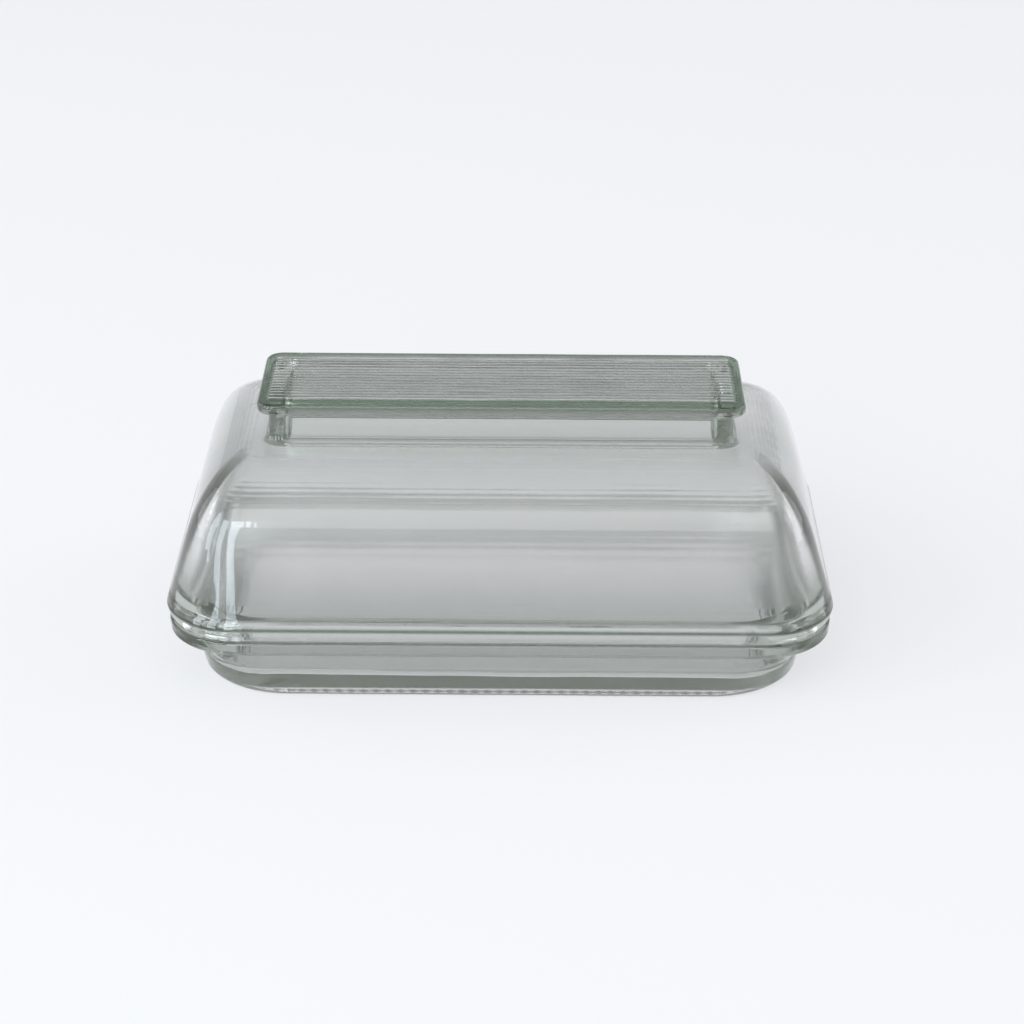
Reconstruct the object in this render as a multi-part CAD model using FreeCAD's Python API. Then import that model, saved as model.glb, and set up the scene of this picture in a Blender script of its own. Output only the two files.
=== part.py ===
"""Pressed-glass butter dish: a shallow rectangular dish and the domed lid that stands on its rim.

The lid has a wide T-shaped grip along its roof. The grip's plate is reeded lengthwise and overhangs a hollow
neck, so that fingertips hook under its edge. Both pieces are clear glass of nearly even wall, each pressed in
one go.

Frame: millimetres, +Z up, +X along the length, origin on the table under the middle of the dish.
"""

import FreeCAD
import Part

import math
import os

# Driving dimensions
LENGTH = 170.0  # over the widest line of the lid's rim
WIDTH = 105.0
HEIGHT = 70.0  # table to the crest of the grip's reeds
SIDE_GAP = (LENGTH - WIDTH) / 2  # an outline's half width is its half length less this

# Dish, upwards from the table
FLOOR = 4.7  # glass under the butter
DISH_WALL = 4.6
BODY_FOOT_HALF = 77.0  # half length of the body where it meets the table
BODY_FOOT_CORNER = 23.0
BODY_TOP_HALF = 79.2
BODY_TOP_CORNER = 19.0
FOOT_EDGE = 2.2  # rounding of the body's lowest edge
FOOT_BAND = 7.5  # width of the ring that the dish stands on
FOOT_RECESS = 0.6
FLANGE_LOW = 15.0
FLANGE_TOP = 18.7
FLANGE_HALF = 84.5
FLANGE_CORNER = 19.0
FLANGE_DRAFT = 0.2
FLANGE_EDGE = 1.0
FLANGE_ROOT = 1.6  # hollow rounding between the flange and the body
WELL_CORNER = 14.5
WELL_DRAFT = 1.8  # how much narrower the well is at its floor, on each side
WELL_FILLET = 4.0
RIDGE_TOP = 20.9  # the ridge stands inside the lid and keeps it in place
RIDGE_HALF = 78.2
RIDGE_DRAFT = 0.4
RIDGE_EDGE = 0.8

# Lid, upwards from the dish
SEAT_GAP = 0.15  # air between the two pressed rims
RIM_LOW = FLANGE_TOP + SEAT_GAP
RIM_LOW_HALF = 83.8
RIM_CREST = 22.7  # the mould's parting line, and the widest line of the lid
RIM_HIGH = 25.4
RIM_CORNER = 19.0
RIM_EDGE = 0.6
DOME_HALF = 84.1  # where the dome leaves the rim
DOME_LEAN = 0.296  # inward per millimetre of height
ROOF = 58.1
ROOF_CORNER = 8.0
SHOULDER_RISE = 19.5  # the full round where the wall turns into the roof
END_RUN = 12.0  # how far it reaches inward at the lid's ends
SIDE_RUN = 22.5  # and at its long sides
FULLNESS = 2.6  # the power of the round's superellipse, where 2 is an ellipse
SHOULDER_STEPS = 10
MOUTH_HALF = 79.3  # inside of the lid, where it stands on the dish
MOUTH_EASE = 12.0  # rounding inside, where the upright mouth turns into the leaning wall
CEILING = 4.0  # glass of the roof

# Grip
PLATE_HALF = 62.4
PLATE_HALF_WIDTH = 18.8
PLATE_CORNER = 4.5
PLATE_THICK = 3.2
PLATE_EDGE = 1.2
NECK_INSET = 2.8  # how far the plate overhangs the neck
NECK_CORNER = 4.0
NECK_FOOT_FILLET = 2.2
NECK_HEAD_FILLET = 1.2
NECK_WALL = 3.8
NECK_CEILING = 3.8  # glass over the hollow neck, under the reeds
NECK_LIP = 1.6  # rounding where the hollow neck opens into the lid
HOLLOW_CORNER = 2.2
HOLLOW_DRAFT = 0.4
REED_COUNT = 16
REED_PITCH = 1.85
REED_HEIGHT = 0.4
REED_HALF_LENGTH = 59.4

PLATE_TOP = HEIGHT - REED_HEIGHT
PLATE_LOW = PLATE_TOP - PLATE_THICK
OVERCUT = 1.0  # how far a cutter or an embedded foot runs past the face it meets
NEAR = 1e-4


def outline(z, half_length, half_width, corner):
    """A closed wire: a rectangle with round corners, lying flat at height z."""
    arcs = []
    for sign_x, sign_y, start in ((1, 1, 0), (-1, 1, 90), (-1, -1, 180), (1, -1, 270)):
        centre = FreeCAD.Vector(sign_x * (half_length - corner), sign_y * (half_width - corner), z)
        circle = Part.Circle(centre, FreeCAD.Vector(0, 0, 1), corner)
        arcs.append(Part.Arc(circle, math.radians(start), math.radians(start + 90)).toShape())
    edges = []
    for arc, following in zip(arcs, arcs[1:] + arcs[:1]):
        edges.append(arc)
        edges.append(Part.makeLine(arc.Vertexes[-1].Point, following.Vertexes[0].Point))
    return Part.Wire(edges)


def level(z, half_length, corner):
    """An outline in the proportion of the dish: its border has the same width all round."""
    return outline(z, half_length, half_length - SIDE_GAP, corner)


def stack(*outlines, smooth=False):
    """A closed solid through outlines, from the lowest to the highest."""
    return Part.makeLoft(list(outlines), True, not smooth)


def edges_at(solid, z, reach=LENGTH):
    """The edges of solid that lie flat at height z, no further than reach from the middle along X."""
    found = []
    for edge in solid.Edges:
        box = edge.BoundBox
        lies_flat = abs(box.ZMin - z) < NEAR and abs(box.ZMax - z) < NEAR
        if lies_flat and max(abs(box.XMin), abs(box.XMax)) < reach:
            found.append(edge)
    return found


def make_body():
    """The outside of the dish below the flange."""
    foot = level(0.0, BODY_FOOT_HALF, BODY_FOOT_CORNER)
    top = level(FLANGE_LOW, BODY_TOP_HALF, BODY_TOP_CORNER)
    body = stack(foot, top)
    return body.makeFillet(FOOT_EDGE, edges_at(body, 0.0))


def make_flange():
    """The rim that the lid stands on."""
    underside = level(FLANGE_LOW, FLANGE_HALF - FLANGE_DRAFT, FLANGE_CORNER)
    flange = stack(underside, level(FLANGE_TOP, FLANGE_HALF, FLANGE_CORNER))
    flange = flange.makeFillet(FLANGE_EDGE, edges_at(flange, FLANGE_LOW))
    return flange.makeFillet(FLANGE_EDGE / 2, edges_at(flange, FLANGE_TOP))


def make_ridge():
    """The raised lip inside the flange."""
    corner = FLANGE_CORNER - (FLANGE_HALF - RIDGE_HALF)
    ridge = stack(level(FLANGE_LOW, RIDGE_HALF, corner), level(RIDGE_TOP, RIDGE_HALF - RIDGE_DRAFT, corner))
    return ridge.makeFillet(RIDGE_EDGE, edges_at(ridge, RIDGE_TOP))


def make_well():
    """The space that holds the butter."""
    top_half = BODY_TOP_HALF - DISH_WALL
    floor = level(FLOOR, top_half - WELL_DRAFT, WELL_CORNER)
    well = stack(floor, level(RIDGE_TOP + OVERCUT, top_half, WELL_CORNER))
    return well.makeFillet(WELL_FILLET, edges_at(well, FLOOR))


def make_foot_hollow():
    """The shallow recess that leaves a ring to stand on."""
    half = BODY_FOOT_HALF - FOOT_BAND
    corner = BODY_FOOT_CORNER - FOOT_BAND
    return stack(level(-OVERCUT, half, corner), level(FOOT_RECESS, half - FOOT_RECESS, corner))


def make_dish():
    """The lower piece: a tray with a flange and a ridge all round, on a foot ring."""
    dish = make_body().fuse([make_flange(), make_ridge()]).removeSplitter()
    dish = dish.makeFillet(FLANGE_ROOT, edges_at(dish, FLANGE_LOW, BODY_TOP_HALF + NEAR))
    dish = dish.cut([make_well(), make_foot_hollow()]).removeSplitter()
    return dish.makeFillet(RIDGE_EDGE, edges_at(dish, RIDGE_TOP, BODY_TOP_HALF - DISH_WALL))


def dome(foot_half, foot_corner, roof, roof_corner, inset):
    """A leaning wall from the rim that turns into a flat roof. Its round turn is shortened by inset."""
    rise = SHOULDER_RISE - (ROOF - roof)
    turn_z = roof - rise

    def corner_at(z):
        return foot_corner + (roof_corner - foot_corner) * (z - RIM_HIGH) / (roof - RIM_HIGH)

    def half_at(z):
        return foot_half - DOME_LEAN * (z - RIM_HIGH)

    wall = [level(z, half_at(z), corner_at(z)) for z in (RIM_HIGH, turn_z)]
    shoulder = []
    for step in range(SHOULDER_STEPS + 1):
        angle = math.radians(90 * step / SHOULDER_STEPS)
        z = turn_z + rise * math.sin(angle) ** (2 / FULLNESS)
        inward = 1 - abs(math.cos(angle)) ** (2 / FULLNESS)
        half_length = half_at(z) - (END_RUN - inset) * inward
        half_width = half_at(z) - SIDE_GAP - (SIDE_RUN - inset) * inward
        shoulder.append(outline(z, half_length, half_width, corner_at(z)))
    return stack(*wall).fuse(stack(*shoulder, smooth=True))


def make_plate():
    """The top of the grip, with the reeds along it."""
    ends = [outline(z, PLATE_HALF, PLATE_HALF_WIDTH, PLATE_CORNER) for z in (PLATE_LOW, PLATE_TOP)]
    plate = stack(*ends)
    plate = plate.makeFillet(PLATE_EDGE, edges_at(plate, PLATE_LOW) + edges_at(plate, PLATE_TOP))
    return plate.fuse(make_reeds())


def make_reeds():
    """Convex reeds side by side along X, all drawn out of one section."""
    half_span = REED_COUNT * REED_PITCH / 2
    edges = []
    for reed in range(REED_COUNT):
        start = -half_span + reed * REED_PITCH
        ends_and_crest = [
            FreeCAD.Vector(-REED_HALF_LENGTH, start, PLATE_TOP),
            FreeCAD.Vector(-REED_HALF_LENGTH, start + REED_PITCH / 2, HEIGHT),
            FreeCAD.Vector(-REED_HALF_LENGTH, start + REED_PITCH, PLATE_TOP),
        ]
        edges.append(Part.Arc(*ends_and_crest).toShape())
    embedded = PLATE_TOP - OVERCUT
    corners = [(half_span, PLATE_TOP), (half_span, embedded), (-half_span, embedded), (-half_span, PLATE_TOP)]
    points = [FreeCAD.Vector(-REED_HALF_LENGTH, y, z) for y, z in corners]
    for here, following in zip(points, points[1:]):
        edges.append(Part.makeLine(here, following))
    section = Part.Face(Part.Wire(edges))
    return section.extrude(FreeCAD.Vector(2 * REED_HALF_LENGTH, 0, 0))


def make_neck():
    """The upright wall of the grip, solid until its hollow is cut."""
    half = PLATE_HALF - NECK_INSET
    half_width = PLATE_HALF_WIDTH - NECK_INSET
    ends = [outline(z, half, half_width, NECK_CORNER) for z in (ROOF - OVERCUT, PLATE_LOW + OVERCUT)]
    return stack(*ends)


def make_neck_hollow():
    """The inside of the neck, open to the lid below."""
    half = PLATE_HALF - NECK_INSET - NECK_WALL
    half_width = PLATE_HALF_WIDTH - NECK_INSET - NECK_WALL
    top = PLATE_TOP - NECK_CEILING
    foot = outline(ROOF - CEILING - OVERCUT, half, half_width, HOLLOW_CORNER)
    hollow = stack(foot, outline(top, half - HOLLOW_DRAFT, half_width - HOLLOW_DRAFT, HOLLOW_CORNER))
    return hollow.makeFillet(NECK_LIP, edges_at(hollow, top))


def make_rim():
    """The beaded foot of the lid, solid until its mouth is cut."""
    halves = {RIM_LOW: RIM_LOW_HALF, RIM_CREST: LENGTH / 2, RIM_HIGH: DOME_HALF}
    rim = stack(*[level(z, half, RIM_CORNER) for z, half in halves.items()], smooth=True)
    return rim.makeFillet(RIM_EDGE, edges_at(rim, RIM_LOW))


def make_lid():
    """The upper piece: a hollow dome with a beaded rim, and the grip on its roof."""
    outside = dome(DOME_HALF, RIM_CORNER, ROOF, ROOF_CORNER, 0)
    outside = outside.fuse([make_rim(), make_plate(), make_neck()]).removeSplitter()
    neck_reach = PLATE_HALF - NECK_INSET + NEAR
    outside = outside.makeFillet(NECK_FOOT_FILLET, edges_at(outside, ROOF, neck_reach))
    outside = outside.makeFillet(NECK_HEAD_FILLET, edges_at(outside, PLATE_LOW, neck_reach))

    glass = DOME_HALF - MOUTH_HALF
    ceiling = ROOF - CEILING
    inset = glass - DOME_LEAN * CEILING  # makes the roof's flat as large inside as outside
    inside = dome(MOUTH_HALF, RIM_CORNER - glass, ceiling, ROOF_CORNER - glass, inset)
    mouth = stack(*[level(z, MOUTH_HALF, RIM_CORNER - glass) for z in (RIM_LOW - OVERCUT, RIM_HIGH)])
    inside = inside.fuse([mouth, make_neck_hollow()]).removeSplitter()
    inside = inside.makeFillet(NECK_LIP, edges_at(inside, ceiling, neck_reach - NECK_WALL))
    inside = inside.makeFillet(MOUTH_EASE, edges_at(inside, RIM_HIGH))
    return outside.cut(inside).removeSplitter()


def export(name, shape):
    """Writes one piece, which must be one sound solid, and prints its volume and size."""
    assert len(shape.Solids) == 1 and shape.Solids[0].isValid(), name
    solid = shape.Solids[0]
    box = solid.optimalBoundingBox(False)
    size = f"{box.XLength:.2f} x {box.YLength:.2f} x {box.ZLength:.2f} mm"
    print(f"{name}: {solid.Volume / 1000:.1f} cm3, {size}")
    solid.exportStep(f"parts/{name}.step")


os.makedirs("parts", exist_ok=True)
export("dish", make_dish())
export("lid", make_lid())
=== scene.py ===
"""Looks of the pressed-glass butter dish.

Both pieces are rebuilt as dense, slightly wavy skins of clear glass. They stand on a pale seamless stage in
soft light. The glass is measured in millimetres until a mesh is made, and the rest in metres.

A skin is a stack of rings. A ring is a rectangle with round corners that lies flat. Every ring has the same
number of points, so neighbouring rings join with quads, and a net of quads closes each end of the stack.
"""

import math
from typing import NamedTuple

import bmesh
import bpy
import numpy as np
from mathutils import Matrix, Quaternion, Vector, noise


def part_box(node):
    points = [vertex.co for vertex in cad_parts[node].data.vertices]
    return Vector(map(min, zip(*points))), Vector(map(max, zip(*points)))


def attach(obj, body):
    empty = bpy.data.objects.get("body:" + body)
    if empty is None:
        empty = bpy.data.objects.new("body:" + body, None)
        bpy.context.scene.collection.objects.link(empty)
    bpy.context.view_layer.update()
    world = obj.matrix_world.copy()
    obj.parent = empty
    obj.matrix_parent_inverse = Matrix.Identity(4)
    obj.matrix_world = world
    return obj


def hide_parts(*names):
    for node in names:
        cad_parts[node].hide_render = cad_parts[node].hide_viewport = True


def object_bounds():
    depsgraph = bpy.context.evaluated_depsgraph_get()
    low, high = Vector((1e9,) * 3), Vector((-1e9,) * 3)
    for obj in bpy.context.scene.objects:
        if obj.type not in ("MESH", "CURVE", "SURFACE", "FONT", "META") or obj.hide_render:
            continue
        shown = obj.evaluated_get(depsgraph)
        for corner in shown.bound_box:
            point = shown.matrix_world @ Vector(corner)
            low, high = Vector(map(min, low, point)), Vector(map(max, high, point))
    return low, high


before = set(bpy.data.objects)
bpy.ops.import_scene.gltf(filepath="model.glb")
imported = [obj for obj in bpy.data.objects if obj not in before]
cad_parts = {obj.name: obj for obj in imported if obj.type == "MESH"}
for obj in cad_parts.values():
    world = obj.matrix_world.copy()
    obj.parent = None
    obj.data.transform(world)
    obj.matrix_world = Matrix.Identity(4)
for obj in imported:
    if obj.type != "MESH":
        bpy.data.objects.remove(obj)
cad_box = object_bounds()

MILLIMETRE = 0.001
DISH_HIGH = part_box("dish")[1] / MILLIMETRE
LID_LOW, LID_HIGH = (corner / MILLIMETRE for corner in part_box("lid"))
SIDE_GAP = LID_HIGH.x - LID_HIGH.y  # an outline's half width is its half length less this

# Dish, upwards from the table
FLOOR = 4.7
FOOT_HALF = 77.0
FOOT_CORNER = 23.0
FOOT_EDGE = 2.2
FOOT_BAND = 7.5
FOOT_RECESS = 0.6
RECESS_ROOT = 0.3
STANDING_EDGE = 0.2  # rounding of the standing ring's inner edge
KNURL = 0.25  # depth of the grooves across that ring
NEARLY_FLAT = KNURL / 10  # whatever lies lower than this stands on the table
BODY_TOP_HALF = 79.2
BODY_TOP_CORNER = 19.0
FLANGE_LOW = 15.0
FLANGE_TOP = 18.7
FLANGE_DRAFT = 0.2
FLANGE_CORNER = 19.0
FLANGE_EDGE = 1.0
FLANGE_ROOT = 1.6
RIDGE_HALF = 78.0
RIDGE_DRAFT = 0.2
RIDGE_EDGE = 0.8
RIDGE_ROOT = 0.3
WELL_HALF = 74.6
WELL_DRAFT = 1.8
WELL_CORNER = 14.5
WELL_FILLET = 4.0

# Lid, upwards from the dish
RIM_LOW_HALF = 83.8
RIM_CREST = 22.7
RIM_HIGH = 25.4
RIM_CORNER = 19.0
RIM_EDGE = 0.6
SEAM = 0.1  # how far the mould's parting line stands out of the rim
DOME_HALF = 84.1
DOME_LEAN = 0.296  # inward per millimetre of height
DOME_ROOT = 0.5
ROOF = 58.1
ROOF_CORNER = 8.0
SHOULDER_RISE = 19.5  # the full round where the wall turns into the roof
END_RUN = 12.0  # how far it reaches inward at the lid's ends
SIDE_RUN = 22.5  # and at its long sides
FULLNESS = 2.6  # the power of the round's superellipse, where 2 is an ellipse
MOUTH_HALF = 79.3
MOUTH_EASE = 12.0
MOUTH_EDGE = 0.4
CEILING = 4.0

# Grip
PLATE_HALF = 62.4
PLATE_HALF_WIDTH = 18.8
PLATE_CORNER = 4.5
PLATE_THICK = 3.2
PLATE_EDGE = 1.2
NECK_INSET = 2.8
NECK_CORNER = 4.0
NECK_FOOT_FILLET = 2.2
NECK_HEAD_FILLET = 1.2
NECK_WALL = 3.8
NECK_CEILING = 3.8
NECK_LIP = 1.6
HOLLOW_CORNER = 2.2
HOLLOW_DRAFT = 0.4
REED_COUNT = 16
REED_PITCH = 1.85
REED_HEIGHT = 0.4
REED_HALF_LENGTH = 59.4
REED_END = 1.4  # the length over which a reed rises from its rounded end
REED_LOSS = 0.9  # the most that pressing may leave off its height
REED_LOSS_LENGTH = 16.0
REED_APART = 10.0  # from one reed to the next in the noise, so that they don't look alike
PLATE_TOP = LID_HIGH.z - REED_HEIGHT
PLATE_LOW = PLATE_TOP - PLATE_THICK

# How finely the skins are divided
REED_ROWS = 6  # across one reed
REED_END_COLUMNS = 5
ROWS = REED_COUNT * REED_ROWS  # along the short side of a ring
COLUMNS = 84  # along its long side
CORNER_STEPS = 8  # in half of a round corner
BEND_STEPS = 6  # in a quarter turn of a section
SHOULDER_STEPS = 18
WALL_STEP = 2.8
SUPPORT = 0.2  # a ring this close to each end of a flat keeps the shading off it
NET_MARGIN = 1.0  # between the border of a net and the bend next to it

# Ripples that pressing leaves in the glass: their depth, and their length in a sheet and down a wall
OUTER_WAVE = 0.08
INNER_WAVE = 0.4
RIPPLE_LENGTH = 18.0
FLOW_LENGTH = 55.0
FLOW_STEP = 9.0

# Painted shade: how far each thick place's colour is darkened towards the dark edge tint, which stands in for
# the dark lines that long paths and dark reflections draw in real glass
FOOT_GREEN_SHADE = 0.35
BODY_TOP_GREEN_SHADE = 0.45
FLANGE_GREEN_SHADE = 0.6
WELL_GREEN_SHADE = 0.5
RIM_GREEN_SHADE = 1.0
DOME_ROOT_GREEN_SHADE = 0.65
PLATE_GREEN_SHADE = 1.0
PLATE_LOW_GREEN_SHADE = 0.12
NECK_GREEN_SHADE = 0.58
END_GREEN_SHADE = 0.05  # more painted shade on the short walls, which are a little thicker than the long ones
GROOVE_SHADE_FADE = 3  # the power by which the painted shade fades from a groove up to the crest of a reed

# Glass, in metres and per metre
GLASS_FILTER = (0.96, 0.958, 0.962)  # what one wall lets through
EDGE_SHADE_FILTER = (0.07, 0.125, 0.07)  # and the dark tint of painted shade at a thick edge, in the glass's own hue
GLASS_TINT = (0.735, 0.757, 0.715)
GLASS_DENSITY = 30.0
GLASS_IOR = 1.52
FIRE_POLISH = 0.0  # roughness outside
PLUNGER_FINISH = 0.2  # and inside
SKIN_SCALE = 200.0
SKIN_STRETCH = 0.25  # the skin's streaks run down the walls
SKIN_DEPTH = 0.00004

# Stage, in metres: a disc of paper whose border curves up into a low wall
STAGE_FLAT = 2.2  # radius of the flat part
STAGE_CURVE = 0.8  # radius of the curve
STAGE_HIGH = 1.2
STAGE_TURNS = 96  # steps round the disc
STAGE_CURVE_STEPS = 16
PAPER_TONE = 0.25
PAPER_ROUGHNESS = 0.9
PAPER_GLOW_COLOUR = (0.96, 0.97, 1.0)
PAPER_GLOW = 0.66
PAPER_GLOW_BEHIND = 0.42  # a dimmer wall behind the dish draws its edges
GLOW_FADE_START = 0.9  # along Y
GLOW_FADE_END = 2.4

# Light, in metres and watts
WORLD_COLOUR = (0.96, 0.98, 1.0)
WORLD_STRENGTH = 0.45
LIGHT_TARGET = Vector((0, 0, 0.03))
WINDOW_TURNS = [math.radians(turn) for turn in (18, 42, 66)]  # tall panes, from the front round to the left
WINDOW_DISTANCE = 1.9
WINDOW_HEIGHT = 0.85
WINDOW_SIZE = (0.45, 1.6)
WINDOW_WATTS = 15
WINDOW_COLOUR = (0.82, 0.92, 1.0)
TOP_PLACE = (0.1, -1.1, 1.6)
TOP_SIZE = (1.6, 1.0)
TOP_WATTS = 9
TOP_COLOUR = (1.0, 1.0, 1.0)
SIDE_REACH = 1.7
SIDE_BACK = 0.35
SIDE_HEIGHT = 0.8
SIDE_SIZE = (1.4, 1.2)
SIDE_WATTS = 8
SIDE_COLOUR = (0.97, 0.99, 1.0)

# Camera, in metres and degrees
CAMERA_SHIFT = Vector((0.00276, 0, -0.00335))  # from the middle of the CAD's box to what it is aimed at
CAMERA_AZIMUTH = -0.421
CAMERA_ELEVATION = 24.87
CAMERA_ROLL = 0.216
CAMERA_DISTANCE = 0.7463
CAMERA_LENS = 99.07  # millimetres, on a sensor 36 mm wide
CAMERA_SENSOR = 36
CAMERA_CLIP = 0.01
GLASS_BOUNCES = 64
GLOSSY_BOUNCES = 32


class Level(NamedTuple):
    """One outline of a piece.

    wave is how deep the glass ripples, green_shade is how much painted shade, in the dark edge tint, its
    colour gets, and bend rounds the section where it turns.
    """

    z: float
    half: float
    corner: float
    gap: float = SIDE_GAP
    wave: float = OUTER_WAVE
    green_shade: float = 0.0
    bend: float = 0.0


# Rings and nets


def side_of_ring(steps):
    """From mid-corner to mid-corner: each point's place on the straight, from -1 to 1, and its turn."""
    straight = np.linspace(-1, 1, steps - 2 * CORNER_STEPS + 1)
    corner = np.linspace(math.pi / 4, 0, CORNER_STEPS + 1)[:-1]
    places = np.concatenate([-np.ones(CORNER_STEPS), straight, np.ones(CORNER_STEPS)])
    turns = np.concatenate([-corner, np.zeros(len(straight)), corner[::-1]])
    return places, turns


def ring_pattern():
    """For each point of a ring: its share of the straights along X and Y, and the way it faces."""
    sides = []
    for number, steps in enumerate((ROWS, COLUMNS, ROWS, COLUMNS)):
        places, turns = side_of_ring(steps)
        facing = number * math.pi / 2
        outward = np.array([math.cos(facing), math.sin(facing)])
        along = np.array([-math.sin(facing), math.cos(facing)])
        shares = outward + np.outer(places, along)
        faces = np.column_stack([np.cos(facing + turns), np.sin(facing + turns)])
        sides.append(np.hstack([shares, faces])[:-1])
    return np.vstack(sides)


RING_PATTERN = ring_pattern()


def ring(z, half, corner, gap, wave, green_shade):
    """The points of one ring: x, y, z, how deep they ripple and how much painted edge shade they get."""
    straight = np.array([half - corner, half - gap - corner])
    flat = RING_PATTERN[:, :2] * straight + RING_PATTERN[:, 2:] * corner
    # Painted shade, a little more of it on the short walls.
    green_shades = green_shade + END_GREEN_SHADE * np.abs(RING_PATTERN[:, 2])
    return np.column_stack([flat, np.tile([z, wave], (len(flat), 1)), green_shades])


def border_of(net):
    """The ring of points round a net, in the order of every ring. A net's first index runs along X."""
    return np.concatenate([net[-1, :-1], net[:0:-1, -1], net[0, :0:-1], net[:-1, 0]])


def net_inside(outline):
    """A net of points spread evenly inside a ring."""
    loop = np.vstack([outline, outline[:1]])
    turns = np.cumsum([0, ROWS, COLUMNS, ROWS, COLUMNS])
    right, back, left, front = [loop[start : end + 1] for start, end in zip(turns, turns[1:])]
    back, left = back[::-1], left[::-1]
    u = np.linspace(0, 1, COLUMNS + 1)[:, None, None]
    v = np.linspace(0, 1, ROWS + 1)[None, :, None]
    across = (1 - u) * left[None] + u * right[None]
    along = (1 - v) * front[:, None] + v * back[:, None]
    corners = (1 - u) * ((1 - v) * left[0] + v * left[-1]) + u * ((1 - v) * right[0] + v * right[-1])
    return across + along - corners


# Sections


def bend_at(before, here, after, radius):
    """Points of the round turn that replaces a corner of the section."""
    back, ahead = before - here, after - here
    back /= np.hypot(*back[:2])
    ahead /= np.hypot(*ahead[:2])
    angle = math.acos(np.clip(back[:2] @ ahead[:2], -1, 1))
    reach = radius / math.tan(angle / 2)
    start, end = here + back * reach, here + ahead * reach
    weight = math.sin(angle / 2)  # a rational curve with this weight is a true arc
    steps = max(2, math.ceil((math.pi - angle) / (math.pi / 2) * BEND_STEPS))
    points = []
    for t in np.linspace(0, 1, steps + 1):
        shares = np.array([(1 - t) ** 2, 2 * t * (1 - t) * weight, t**2])
        points.append(shares @ np.array([start, here, end]) / shares.sum())
    return points


def cut_evenly(start, end):
    """Points after start, up to end, with no long step and a support ring near each end of a long stretch."""
    length = np.hypot(*(end - start)[:2])
    if length < 4 * SUPPORT:
        return [end]
    steps = math.ceil(length / WALL_STEP)
    shares = np.linspace(0, 1, steps + 1)[1:-1]
    shares = np.concatenate([[SUPPORT / length], shares, [1 - SUPPORT / length, 1]])
    return [start + (end - start) * share for share in shares]


def rings_through(levels):
    """The rings of a section, with its bends rounded and its long stretches divided."""
    points = [np.array(level[:-1]) for level in levels]
    turned = [points[0]]
    for before, here, after, level in zip(points, points[1:], points[2:], levels[1:]):
        turned += bend_at(before, here, after, level.bend) if level.bend else [here]
    turned.append(points[-1])
    section = [turned[0]]
    for start, end in zip(turned, turned[1:]):
        section += cut_evenly(start, end)
    return [ring(*point) for point in section]


def dome_levels(foot_half, foot_corner, roof, roof_corner, inset, wave):
    """The leaning wall's top and its round turn, up to the roof, shortened by inset."""
    rise = SHOULDER_RISE - (ROOF - roof)
    levels = []
    for angle in np.linspace(0, math.pi / 2, SHOULDER_STEPS + 1):
        z = roof - rise * (1 - math.sin(angle) ** (2 / FULLNESS))
        inward = 1 - abs(math.cos(angle)) ** (2 / FULLNESS)
        run = (END_RUN - inset) * inward
        side_run = (SIDE_RUN - inset) * inward
        half = foot_half - DOME_LEAN * (z - RIM_HIGH) - run
        corner = foot_corner + (roof_corner - foot_corner) * (z - RIM_HIGH) / (roof - RIM_HIGH)
        levels.append(Level(z, half, corner, SIDE_GAP + side_run - run, wave))
    return levels


def dish_levels():
    """The dish's section, from the recess under its floor, round the outside, to the floor of the well."""
    flange_half = DISH_HIGH.x
    recess_half = FOOT_HALF - FOOT_BAND
    recess_corner = FOOT_CORNER - FOOT_BAND
    recess_top_half = recess_half - FOOT_RECESS
    ridge_corner = FLANGE_CORNER - (flange_half - RIDGE_HALF)
    floor_half = WELL_HALF - WELL_DRAFT
    inset = WELL_FILLET + NET_MARGIN
    return [
        Level(FOOT_RECESS, recess_top_half - NET_MARGIN, recess_corner - NET_MARGIN),
        Level(FOOT_RECESS, recess_top_half, recess_corner, bend=RECESS_ROOT),
        Level(0, recess_half, recess_corner, bend=STANDING_EDGE),
        Level(0, FOOT_HALF, FOOT_CORNER, green_shade=FOOT_GREEN_SHADE, bend=FOOT_EDGE),
        Level(FLANGE_LOW, BODY_TOP_HALF, BODY_TOP_CORNER, green_shade=BODY_TOP_GREEN_SHADE, bend=FLANGE_ROOT),
        Level(FLANGE_LOW, flange_half - FLANGE_DRAFT, FLANGE_CORNER, green_shade=FLANGE_GREEN_SHADE, bend=FLANGE_EDGE),
        Level(FLANGE_TOP, flange_half, FLANGE_CORNER, green_shade=FLANGE_GREEN_SHADE, bend=FLANGE_EDGE / 2),
        Level(FLANGE_TOP, RIDGE_HALF, ridge_corner, bend=RIDGE_ROOT),
        Level(DISH_HIGH.z, RIDGE_HALF - RIDGE_DRAFT, ridge_corner, bend=RIDGE_EDGE),
        Level(DISH_HIGH.z, WELL_HALF, WELL_CORNER, bend=RIDGE_EDGE),
        Level(FLOOR, floor_half, WELL_CORNER, wave=INNER_WAVE, green_shade=WELL_GREEN_SHADE, bend=WELL_FILLET),
        Level(FLOOR, floor_half - inset, WELL_CORNER - inset, wave=INNER_WAVE),
    ]


def grip_levels():
    """The outside of the grip, from the border of its reeds down to the roof."""
    gap = PLATE_HALF - PLATE_HALF_WIDTH
    neck_half = PLATE_HALF - NECK_INSET
    inset = PLATE_EDGE + SUPPORT
    foot = NECK_FOOT_FILLET + SUPPORT
    return [
        Level(PLATE_TOP, PLATE_HALF - inset, PLATE_CORNER - inset, gap, green_shade=PLATE_GREEN_SHADE),
        Level(PLATE_TOP, PLATE_HALF, PLATE_CORNER, gap, green_shade=PLATE_GREEN_SHADE, bend=PLATE_EDGE),
        Level(PLATE_LOW, PLATE_HALF, PLATE_CORNER, gap, green_shade=PLATE_LOW_GREEN_SHADE, bend=PLATE_EDGE),
        Level(PLATE_LOW, neck_half, NECK_CORNER, gap, green_shade=NECK_GREEN_SHADE, bend=NECK_HEAD_FILLET),
        Level(ROOF, neck_half, NECK_CORNER, gap, green_shade=NECK_GREEN_SHADE, bend=NECK_FOOT_FILLET),
        Level(ROOF, neck_half + foot, NECK_CORNER + foot, gap),
    ]


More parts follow.
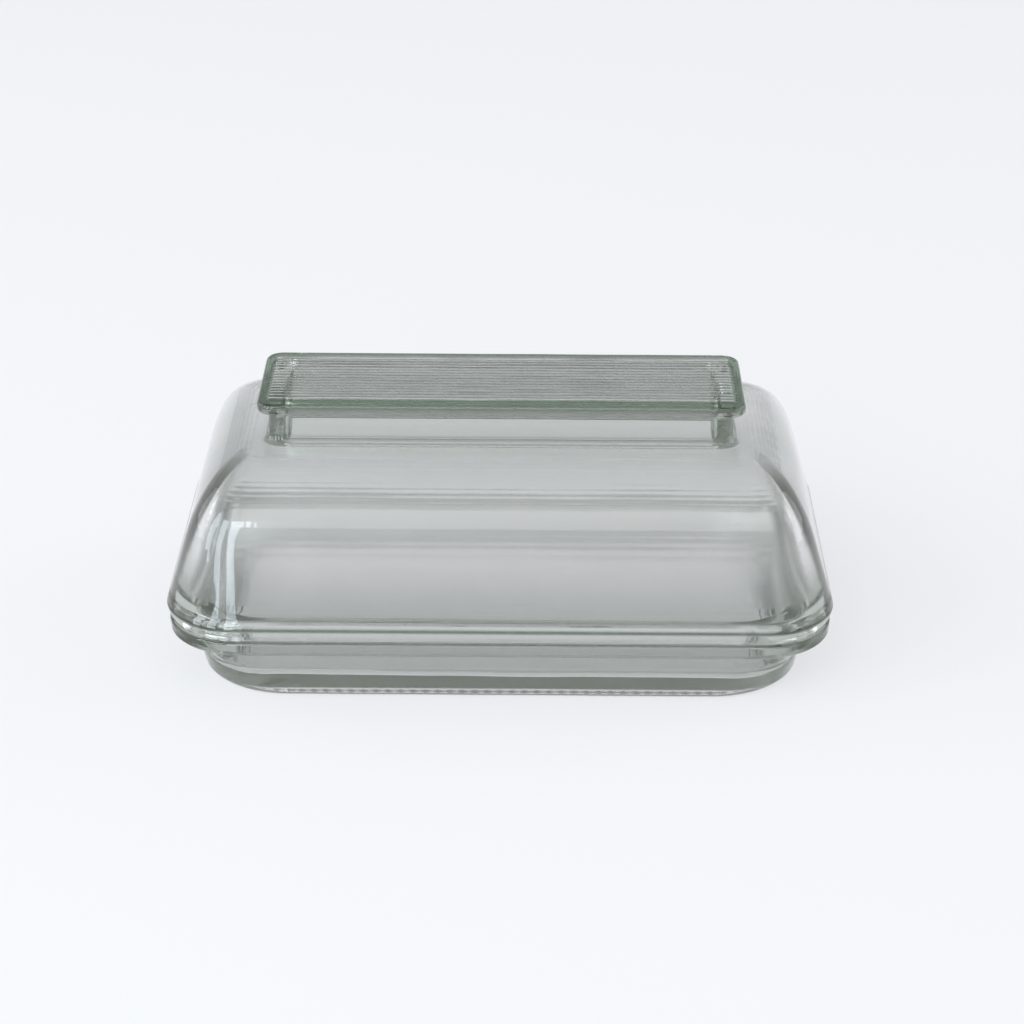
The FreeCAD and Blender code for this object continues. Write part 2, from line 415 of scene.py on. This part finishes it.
def rim_levels():
    """The beaded rim, from its root in the dome down to the inner edge of its underside."""
    crest_half = LID_HIGH.x
    low = LID_LOW.z
    wall = DOME_HALF - MOUTH_HALF
    upper = [RIM_HIGH - (RIM_HIGH - RIM_CREST) * share for share in (1 / 3, 2 / 3)]
    lower = [RIM_CREST - (RIM_CREST - low) * share for share in (1 / 4, 1 / 2, 3 / 4)]

    def bulge(z, end, end_half):
        """The half length of the rounded section at z, which has end_half at its end."""
        widest = crest_half - SEAM
        return widest - (widest - end_half) * ((z - RIM_CREST) / (end - RIM_CREST)) ** 2

    return [
        *[Level(z, bulge(z, RIM_HIGH, DOME_HALF), RIM_CORNER) for z in upper],
        Level(RIM_CREST + 2 * SEAM, crest_half - SEAM, RIM_CORNER, green_shade=RIM_GREEN_SHADE),
        Level(RIM_CREST, crest_half, RIM_CORNER, green_shade=RIM_GREEN_SHADE),
        Level(RIM_CREST - 2 * SEAM, crest_half - SEAM, RIM_CORNER, green_shade=RIM_GREEN_SHADE),
        *[Level(z, bulge(z, low, RIM_LOW_HALF), RIM_CORNER) for z in lower],
        Level(low, RIM_LOW_HALF, RIM_CORNER, bend=RIM_EDGE),
        Level(low, MOUTH_HALF, RIM_CORNER - wall, bend=MOUTH_EDGE),
    ]


def hollow_levels():
    """The hollow of the neck, from its mouth in the ceiling to its top."""
    gap = PLATE_HALF - PLATE_HALF_WIDTH
    half = PLATE_HALF - NECK_INSET - NECK_WALL
    top = PLATE_TOP - NECK_CEILING
    lip = NECK_LIP + SUPPORT
    return [
        Level(ROOF - CEILING, half + lip, HOLLOW_CORNER + lip, gap, INNER_WAVE),
        Level(ROOF - CEILING, half, HOLLOW_CORNER, gap, bend=NECK_LIP),
        Level(top, half - HOLLOW_DRAFT, HOLLOW_CORNER, gap, bend=NECK_LIP),
        Level(top, half - HOLLOW_DRAFT - lip, HOLLOW_CORNER - NECK_LIP, gap),
    ]


def lid_levels():
    """The lid's section, from the border of the reeds, down the outside and up the inside."""
    wall = DOME_HALF - MOUTH_HALF
    inset = wall - DOME_LEAN * CEILING  # makes the roof's flat as large inside as outside
    mouth_corner = RIM_CORNER - wall
    outside = dome_levels(DOME_HALF, RIM_CORNER, ROOF, ROOF_CORNER, 0, OUTER_WAVE)
    inside = dome_levels(MOUTH_HALF, mouth_corner, ROOF - CEILING, ROOF_CORNER - wall, inset, INNER_WAVE)
    root = Level(RIM_HIGH, DOME_HALF, RIM_CORNER, green_shade=DOME_ROOT_GREEN_SHADE, bend=DOME_ROOT)
    mouth = Level(RIM_HIGH, MOUTH_HALF, mouth_corner, wave=INNER_WAVE, bend=MOUTH_EASE)
    return [*grip_levels(), *outside[::-1], root, *rim_levels(), mouth, *inside, *hollow_levels()]


def reed_share(x, y):
    """How much of its full height a reed has at a place, because none is pressed quite sharp all along."""
    reed = math.floor(y / REED_PITCH)
    return 1 - REED_LOSS * (0.5 + 0.5 * noise.noise(Vector((x / REED_LOSS_LENGTH, REED_APART * reed, 0))))


def reed_net():
    """The reeded top of the grip: convex reeds side by side along X, each with rounded ends."""
    straight = REED_HALF_LENGTH - REED_END
    middle = np.linspace(-straight, straight, COLUMNS - 2 * REED_END_COLUMNS + 1)
    climb = REED_END * (1 - np.cos(np.linspace(0, math.pi / 2, REED_END_COLUMNS + 1)[:-1]))
    xs = np.concatenate([-REED_HALF_LENGTH + climb, middle, REED_HALF_LENGTH - climb[::-1]])
    ys = np.linspace(-1, 1, ROWS + 1) * REED_COUNT * REED_PITCH / 2
    from_crest = np.abs(((np.arange(ROWS + 1) / REED_ROWS) % 1) - 0.5) * REED_PITCH
    radius = ((REED_PITCH / 2) ** 2 + REED_HEIGHT**2) / (2 * REED_HEIGHT)
    across = np.sqrt(radius**2 - from_crest**2) - (radius - REED_HEIGHT)
    from_end = np.clip((REED_HALF_LENGTH - np.abs(xs)) / REED_END, 0, 1)
    along = np.sqrt(1 - (1 - from_end) ** 2)
    x, y = np.meshgrid(xs, ys, indexing="ij")
    height = np.outer(along, across) * np.vectorize(reed_share)(x, y)
    # Painted shade: the colour darkens into each groove between the reeds and stays clear on the crests.
    green_shade = (1 - height / REED_HEIGHT) ** GROOVE_SHADE_FADE
    return np.stack([x, y, PLATE_TOP + height, np.zeros_like(x), green_shade], axis=-1)


# Skins


def put_in_scene(name, data):
    """A new object that shows a mesh, a light or a camera."""
    thing = bpy.data.objects.new(name, data)
    bpy.context.scene.collection.objects.link(thing)
    return thing


def quads_between(rows_of_ids):
    """Quads of a net of point numbers."""
    ids = np.asarray(rows_of_ids)
    corners = [ids[:-1, :-1], ids[1:, :-1], ids[1:, 1:], ids[:-1, 1:]]
    return np.stack(corners, axis=-1).reshape(-1, 4)


def close_with(net, ring_start, free_id):
    """Quads of a net whose border is the ring that starts at ring_start, and the net's own inner points."""
    ids = np.full(net.shape[:2], -1)
    numbers = ring_start + np.arange(len(RING_PATTERN))
    turns = np.cumsum([0, ROWS, COLUMNS, ROWS, COLUMNS])
    right, back, left, front = [numbers[start:end] for start, end in zip(turns, turns[1:])]
    ids[-1, :-1] = right
    ids[:0:-1, -1] = back
    ids[0, :0:-1] = left
    ids[:-1, 0] = front
    inner = net[1:-1, 1:-1].reshape(-1, net.shape[-1])
    ids[1:-1, 1:-1] = free_id + np.arange(len(inner)).reshape(net.shape[0] - 2, net.shape[1] - 2)
    return quads_between(ids), inner


def make_skin(name, start_net, rings, end_net):
    """A closed mesh through the rings, with a net over each end."""
    size = len(RING_PATTERN)
    ids = np.arange(len(rings) * size).reshape(len(rings), size)
    ids = np.column_stack([ids, ids[:, :1]])
    points = np.vstack(rings)
    start_quads, start_points = close_with(start_net, 0, len(points))
    end_quads, end_points = close_with(end_net, len(points) - size, len(points) + len(start_points))
    points = np.vstack([points, start_points, end_points])
    quads = np.vstack([quads_between(ids), start_quads, end_quads])
    mesh = bpy.data.meshes.new(name)
    mesh.from_pydata((points[:, :3] * MILLIMETRE).tolist(), [], quads.tolist())
    # The second layer carries the painted edge shade into the material.
    for layer_name, values in (("plunger_side", points[:, 3] == INNER_WAVE), ("green_shade", points[:, 4])):
        layer = mesh.attributes.new(layer_name, "FLOAT", "POINT")
        layer.data.foreach_set("value", values.astype(np.float32))
    face_outward(mesh)
    ripple(mesh, points[:, 3])
    mesh.shade_smooth()
    return put_in_scene(name, mesh)


def face_outward(mesh):
    """Turns every face's front outward, and makes sure that the mesh is closed."""
    work = bmesh.new()
    work.from_mesh(mesh)
    bmesh.ops.recalc_face_normals(work, faces=work.faces)
    assert all(edge.is_manifold for edge in work.edges), mesh.name
    work.to_mesh(mesh)
    work.free()


def ripple(mesh, depths):
    """Sinks each point into the glass by up to its depth, in soft waves."""
    for vertex, normal, depth in zip(mesh.vertices, mesh.vertex_normals, depths):
        place = vertex.co / MILLIMETRE
        sheet = noise.noise(place / RIPPLE_LENGTH)
        flow = noise.noise(Vector((place.x / FLOW_LENGTH, place.y / FLOW_LENGTH, place.z / FLOW_STEP)))
        sunk = 0.5 - 0.5 * (sheet + flow)
        vertex.co -= normal.vector * (depth * min(max(sunk, 0.0), 1.0) * MILLIMETRE)


def knurl(rings):
    """Lifts every other point of the rings that lie on the table, which leaves short bars to stand on."""
    for outline in rings:
        if outline[0, 2] < NEARLY_FLAT:
            outline[::2, 2] += KNURL


def make_dish():
    """The lower piece."""
    rings = rings_through(dish_levels())
    knurl(rings)
    return make_skin("glass_dish", net_inside(rings[0]), rings, net_inside(rings[-1]))


def make_lid():
    """The upper piece, with its grip."""
    reeds = reed_net()
    rings = rings_through(lid_levels())
    return make_skin("glass_lid", reeds, [border_of(reeds), *rings], net_inside(rings[-1]))


# Materials


def link_tint(nodes, links):
    """Glass swallows a little light along every millimetre of its way."""
    tint = nodes.new("ShaderNodeVolumeAbsorption")
    tint.inputs["Color"].default_value = (*GLASS_TINT, 1.0)
    tint.inputs["Density"].default_value = GLASS_DENSITY
    links.new(tint.outputs["Volume"], nodes["Material Output"].inputs["Volume"])


def link_colour_and_edge_shade(nodes, links, socket):
    """Painted shade: thick edges and reed grooves are darkened in the glass's own hue, and the walls stay
    nearly clear.
    """
    green_shade = nodes.new("ShaderNodeAttribute")
    green_shade.attribute_name = "green_shade"
    body = nodes.new("ShaderNodeMix")
    body.data_type = "RGBA"
    body.inputs["A"].default_value = (*GLASS_FILTER, 1.0)
    body.inputs["B"].default_value = (*EDGE_SHADE_FILTER, 1.0)
    links.new(green_shade.outputs["Fac"], body.inputs["Factor"])
    links.new(body.outputs["Result"], socket)


def link_finish(nodes, links, socket):
    """The outside is polished by fire, and the inside is as dull as the plunger left it."""
    side = nodes.new("ShaderNodeAttribute")
    side.attribute_name = "plunger_side"
    finish = nodes.new("ShaderNodeMapRange")
    finish.inputs["To Min"].default_value = FIRE_POLISH
    finish.inputs["To Max"].default_value = PLUNGER_FINISH
    links.new(side.outputs["Fac"], finish.inputs["Value"])
    links.new(finish.outputs["Result"], socket)


def link_skin(nodes, links, socket):
    """Faint streaks of chilled glass."""
    place = nodes.new("ShaderNodeTexCoord")
    stretch = nodes.new("ShaderNodeMapping")
    stretch.inputs["Scale"].default_value = (1.0, 1.0, SKIN_STRETCH)
    links.new(place.outputs["Object"], stretch.inputs["Vector"])
    skin = nodes.new("ShaderNodeTexNoise")
    skin.inputs["Scale"].default_value = SKIN_SCALE
    links.new(stretch.outputs["Vector"], skin.inputs["Vector"])
    bump = nodes.new("ShaderNodeBump")
    bump.inputs["Distance"].default_value = SKIN_DEPTH
    links.new(skin.outputs["Fac"], bump.inputs["Height"])
    links.new(bump.outputs["Normal"], socket)


def make_glass():
    """Clear soda-lime glass."""
    material = bpy.data.materials.new("pressed_glass")
    material.use_nodes = True
    nodes, links = material.node_tree.nodes, material.node_tree.links
    shader = nodes["Principled BSDF"]
    shader.inputs["Transmission Weight"].default_value = 1.0
    shader.inputs["IOR"].default_value = GLASS_IOR
    link_tint(nodes, links)
    link_colour_and_edge_shade(nodes, links, shader.inputs["Base Color"])
    link_finish(nodes, links, shader.inputs["Roughness"])
    link_skin(nodes, links, shader.inputs["Normal"])
    return material


def make_paper():
    """Matt paper that glows softly, and less behind the dish."""
    material = bpy.data.materials.new("paper")
    material.use_nodes = True
    nodes, links = material.node_tree.nodes, material.node_tree.links
    shader = nodes["Principled BSDF"]
    shader.inputs["Base Color"].default_value = (PAPER_TONE, PAPER_TONE, PAPER_TONE, 1.0)
    shader.inputs["Roughness"].default_value = PAPER_ROUGHNESS
    shader.inputs["Specular IOR Level"].default_value = 0.0
    shader.inputs["Emission Color"].default_value = (*PAPER_GLOW_COLOUR, 1.0)
    place = nodes.new("ShaderNodeTexCoord")
    axes = nodes.new("ShaderNodeSeparateXYZ")
    links.new(place.outputs["Object"], axes.inputs["Vector"])
    glow = nodes.new("ShaderNodeMapRange")
    glow.interpolation_type = "SMOOTHSTEP"
    glow.inputs["From Min"].default_value = GLOW_FADE_START
    glow.inputs["From Max"].default_value = GLOW_FADE_END
    glow.inputs["To Min"].default_value = PAPER_GLOW
    glow.inputs["To Max"].default_value = PAPER_GLOW_BEHIND
    links.new(axes.outputs["Y"], glow.inputs["Value"])
    links.new(glow.outputs["Result"], shader.inputs["Emission Strength"])
    return material


# Stage, light and camera


def make_stage():
    """A floor that curves up all round into a low wall, so that no horizon shows."""
    profile = [(STAGE_FLAT, 0.0)]
    for angle in np.linspace(0, math.pi / 2, STAGE_CURVE_STEPS + 1)[1:]:
        profile.append((STAGE_FLAT + STAGE_CURVE * math.sin(angle), STAGE_CURVE * (1 - math.cos(angle))))
    profile.append((STAGE_FLAT + STAGE_CURVE, STAGE_HIGH))
    points, faces = [(0.0, 0.0, 0.0)], []
    for reach, z in profile:
        for step in range(STAGE_TURNS):
            angle = 2 * math.pi * step / STAGE_TURNS
            points.append((reach * math.cos(angle), reach * math.sin(angle), z))
    for step in range(STAGE_TURNS):
        following = (step + 1) % STAGE_TURNS
        faces.append((0, 1 + step, 1 + following))
        for level in range(len(profile) - 1):
            here, above = 1 + level * STAGE_TURNS, 1 + (level + 1) * STAGE_TURNS
            faces.append((here + step, above + step, above + following, here + following))
    mesh = bpy.data.meshes.new("floor")
    mesh.from_pydata(points, [], faces)
    mesh.shade_smooth()
    mesh.materials.append(make_paper())
    return put_in_scene("floor", mesh)


def make_world():
    """Even pale light from all round."""
    world = bpy.data.worlds.new("studio")
    world.use_nodes = True
    background = world.node_tree.nodes["Background"]
    background.inputs["Color"].default_value = (*WORLD_COLOUR, 1.0)
    background.inputs["Strength"].default_value = WORLD_STRENGTH
    bpy.context.scene.world = world


def make_softbox(name, place, size, watts, colour):
    """A large soft light aimed at the dish, which the camera doesn't see directly."""
    data = bpy.data.lights.new(name, "AREA")
    data.shape = "RECTANGLE"
    data.size, data.size_y = size
    data.energy = watts
    data.color = colour
    lamp = put_in_scene(name, data)
    lamp.location = place
    lamp.rotation_euler = (LIGHT_TARGET - lamp.location).to_track_quat("-Z", "Y").to_euler()
    lamp.visible_camera = False


def make_lights():
    """Three tall panes like those of a window, a light above the front, and a light on each side."""
    for turn in WINDOW_TURNS:
        place = (-WINDOW_DISTANCE * math.sin(turn), -WINDOW_DISTANCE * math.cos(turn), WINDOW_HEIGHT)
        make_softbox("window", place, WINDOW_SIZE, WINDOW_WATTS, WINDOW_COLOUR)
    make_softbox("top", TOP_PLACE, TOP_SIZE, TOP_WATTS, TOP_COLOUR)
    for side in (-1, 1):
        place = (side * SIDE_REACH, SIDE_BACK, SIDE_HEIGHT)
        make_softbox("side", place, SIDE_SIZE, SIDE_WATTS, SIDE_COLOUR)


def make_camera():
    """A camera on the photograph's line of sight."""
    azimuth, elevation = math.radians(CAMERA_AZIMUTH), math.radians(CAMERA_ELEVATION)
    flat = math.cos(elevation)
    ahead = Vector((math.sin(azimuth) * flat, math.cos(azimuth) * flat, -math.sin(elevation)))
    roll = Quaternion((0, 0, 1), math.radians(CAMERA_ROLL))
    data = bpy.data.cameras.new("camera")
    data.sensor_width = CAMERA_SENSOR
    data.lens = CAMERA_LENS
    data.clip_start = CAMERA_CLIP
    camera = put_in_scene("camera", data)
    camera.rotation_mode = "QUATERNION"
    camera.rotation_quaternion = ahead.to_track_quat("-Z", "Y") @ roll
    camera.location = (cad_box[0] + cad_box[1]) / 2 + CAMERA_SHIFT - ahead * CAMERA_DISTANCE
    bpy.context.scene.camera = camera


pressed_glass = make_glass()
for make_piece, node in ((make_dish, "dish"), (make_lid, "lid")):
    piece = make_piece()
    piece.data.materials.append(pressed_glass)
    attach(piece, node)
    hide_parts(node)

make_stage()
make_world()
make_lights()
make_camera()

scene = bpy.context.scene
scene.view_settings.view_transform = "Standard"
scene.cycles.max_bounces = GLASS_BOUNCES
scene.cycles.transmission_bounces = GLASS_BOUNCES
scene.cycles.glossy_bounces = GLOSSY_BOUNCES
